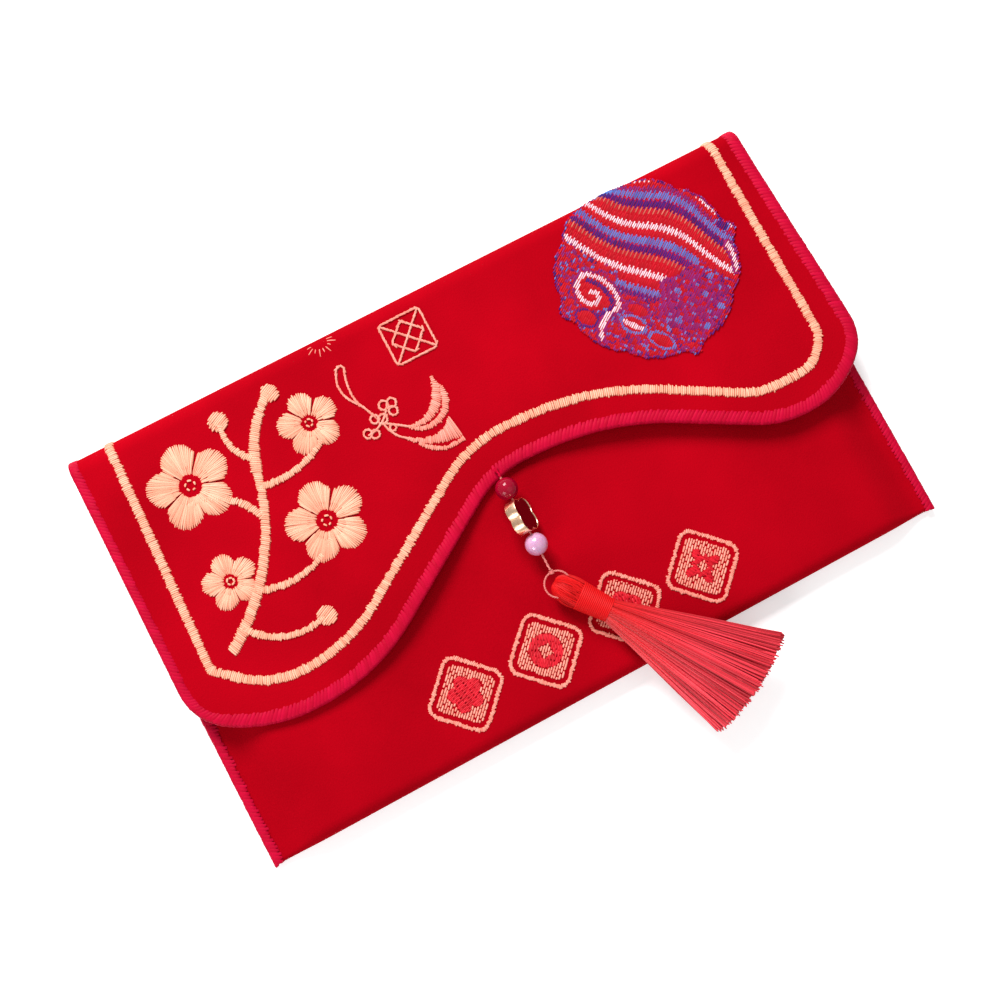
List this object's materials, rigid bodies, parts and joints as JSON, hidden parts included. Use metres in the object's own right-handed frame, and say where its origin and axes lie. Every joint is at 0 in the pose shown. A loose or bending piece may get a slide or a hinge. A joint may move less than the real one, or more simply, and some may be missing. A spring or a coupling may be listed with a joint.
{
  "type": "cloth gift-money envelope",
  "caption": "Flat velvet envelope with an overlocked scalloped fold-over flap, an open pocket for banknotes, satin-stitch ornament, and a bead pendant with a tassel.",
  "frame": {"origin": "middle of the back panel's outer face, on which the envelope lies", "axes": "+X along the width, +Y towards the top fold, +Z out of the front, towards the flap"},
  "size_m": [0.1983, 0.1417, 0.0169],
  "materials": {
    "red_velvet": "short-pile red velvet with a soft sheen",
    "interlining": "thin white non-woven stiffening",
    "satin_lining": "smooth red satin",
    "overlock_thread": "dense crimson overlock stitches",
    "peach_thread": "glossy peach satin stitch",
    "patch_thread": "fine brocade in red, pale pink, light blue and navy",
    "red_thread": "red satin stitch",
    "pendant_thread": "thin twisted thread",
    "red_bead": "clear glossy red",
    "pearl": "pearly pale pink",
    "gold_metal": "polished pale gold plating",
    "enamel": "glossy dark red enamel",
    "tassel_yarn": "shiny twisted red yarn"
  },
  "bodies": {
    "pocket": {"back_panel": "red_velvet", "back_interlining": "interlining", "back_lining": "satin_lining", "front_panel": "red_velvet", "front_interlining": "interlining", "front_lining": "satin_lining", "bottom_fold": "red_velvet", "left_side_binding": "overlock_thread", "right_side_binding": "overlock_thread", "mouth_binding": "overlock_thread", "top_fold": "red_velvet", "seal_frame_1": "peach_thread", "seal_fill_1": "peach_thread", "seal_motif_1": "red_thread", "seal_frame_2": "peach_thread", "seal_fill_2": "peach_thread", "seal_motif_2": "red_thread", "seal_frame_3": "peach_thread", "seal_fill_3": "peach_thread", "seal_motif_3": "red_thread", "seal_frame_4": "peach_thread", "seal_fill_4": "peach_thread", "seal_motif_4": "red_thread"},
    "flap": {"flap_panel": "red_velvet", "flap_interlining": "interlining", "flap_lining": "satin_lining", "flap_binding": "overlock_thread", "gold_border": "peach_thread", "round_patch": "patch_thread", "plum_branch": "peach_thread", "knot_ornament": "peach_thread", "lattice_stamp": "peach_thread"},
    "pendant_knot": {"anchor_knot": "pendant_thread"},
    "pendant_string": {"bead_thread": "pendant_thread"},
    "first_bead": {"red_bead": "red_bead"},
    "charm": {"charm_rim": "gold_metal", "charm_front_enamel": "enamel", "charm_back_enamel": "enamel"},
    "second_bead": {"pearl_bead": "pearl"},
    "thread_loop": {"tassel_loop": "pendant_thread"},
    "tassel": {"tassel_head": "tassel_yarn", "neck_wrap": "tassel_yarn", "tassel_skirt": "tassel_yarn"}
  },
  "joints": [
    {"name": "flap_fold", "type": "hinge", "parent": "pocket", "child": "flap", "pos_m": [0, 0.0575, 0.0045], "axis": [-1, 0, 0], "range_deg": [0, 175], "deforming": ["top_fold"]},
    {"name": "pendant_swing", "type": "hinge", "parent": "flap", "child": "pendant_knot", "pos_m": [-0.0019, 0.0046, 0.01015], "axis": [0, 0, 1], "range_deg": [-30, 12]},
    {"name": "pendant_lift", "type": "hinge", "parent": "pendant_knot", "child": "pendant_string", "pos_m": [-0.0019, 0.0046, 0.01015], "axis": [-1, 0, 0], "range_deg": [0, 80]},
    {"name": "first_bead_spin", "type": "hinge", "parent": "pendant_string", "child": "first_bead", "pos_m": [-0.0019, -0.001, 0.01226], "axis": [0, 1, 0], "continuous": true},
    {"name": "charm_spin", "type": "hinge", "parent": "pendant_string", "child": "charm", "pos_m": [-0.0019, -0.009, 0.01226], "axis": [0, 1, 0], "continuous": true},
    {"name": "second_bead_spin", "type": "hinge", "parent": "pendant_string", "child": "second_bead", "pos_m": [-0.0019, -0.017, 0.01226], "axis": [0, 1, 0], "continuous": true},
    {"name": "loop_lift", "type": "hinge", "parent": "pendant_string", "child": "thread_loop", "pos_m": [-0.0019, -0.02505, 0.01226], "axis": [-1, 0, 0], "range_deg": [0, 70]},
    {"name": "tassel_swing", "type": "hinge", "parent": "thread_loop", "child": "tassel", "pos_m": [-0.0019, -0.02845, 0.01226], "axis": [0, 0, 1], "range_deg": [-50, 6]}
  ]
}
